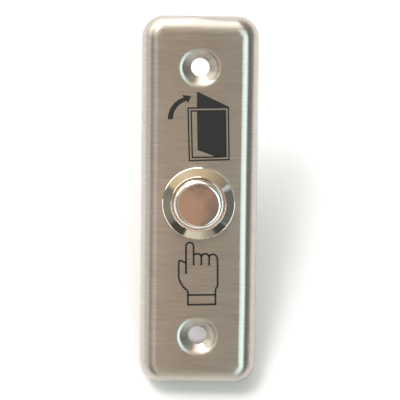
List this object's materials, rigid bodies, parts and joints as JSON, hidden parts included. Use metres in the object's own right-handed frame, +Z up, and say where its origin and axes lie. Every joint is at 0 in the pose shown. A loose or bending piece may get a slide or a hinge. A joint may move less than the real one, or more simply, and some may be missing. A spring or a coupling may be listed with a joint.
{
  "type": "door exit button",
  "caption": "Narrow pressed steel wall plate with two dimpled screw holes and a round sprung metal push switch, for releasing a door from inside.",
  "frame": {"origin": "on the button's axis, in the plane of the plate's rear rim, which lies against the wall", "axes": "+Z up along the plate, +Y into the wall, X across the plate; the button faces -Y and is pressed along +Y"},
  "size_m": [0.029, 0.0294, 0.092],
  "materials": {
    "plate_steel": "brushed across the width",
    "polished_steel": "turned and polished",
    "cap_steel": "satin face, polished rim",
    "nut_metal": "plated",
    "spring_steel": "drawn wire and strip",
    "screw_steel": "plated",
    "contact_brass": "stamped strip",
    "contact_silver": "silver alloy",
    "moulding_dark": "moulded, fine matt",
    "moulding_light": "moulded, natural",
    "seal_rubber": "matt"
  },
  "bodies": {
    "plate": {"faceplate": "plate_steel", "button_housing": "polished_steel", "head_seal": "seal_rubber", "lock_washer": "spring_steel", "mounting_nut": "nut_metal", "return_spring": "spring_steel", "contact_housing": "moulding_dark", "contact_spring": "spring_steel", "fixed_contacts": "contact_silver", "terminal_common": "contact_brass", "terminal_open": "contact_brass", "terminal_base": "moulding_dark", "terminal_screws": "screw_steel", "clamp_washers": "screw_steel", "retaining_ring": "spring_steel"},
    "button": {"push_cap": "cap_steel", "cap_seal": "seal_rubber", "plunger": "moulding_light", "plunger_clip": "spring_steel"},
    "bridge": {"contact_bridge": "contact_brass", "moving_contacts": "contact_silver"}
  },
  "joints": [
    {"name": "button_press", "type": "slide", "parent": "plate", "child": "button", "axis": [0, 1, 0], "range_m": [0, 0.002], "stiffness_N_per_m": 800, "springref_m": -0.003, "deforming": ["return_spring"]},
    {"name": "bridge_slide", "type": "slide", "parent": "plate", "child": "bridge", "axis": [0, 1, 0], "range_m": [0, 0.0016], "deforming": ["contact_spring"]}
  ],
  "couplings": [
    {"joint": "bridge_slide", "follows": "button_press", "ratio": 0.8}
  ]
}
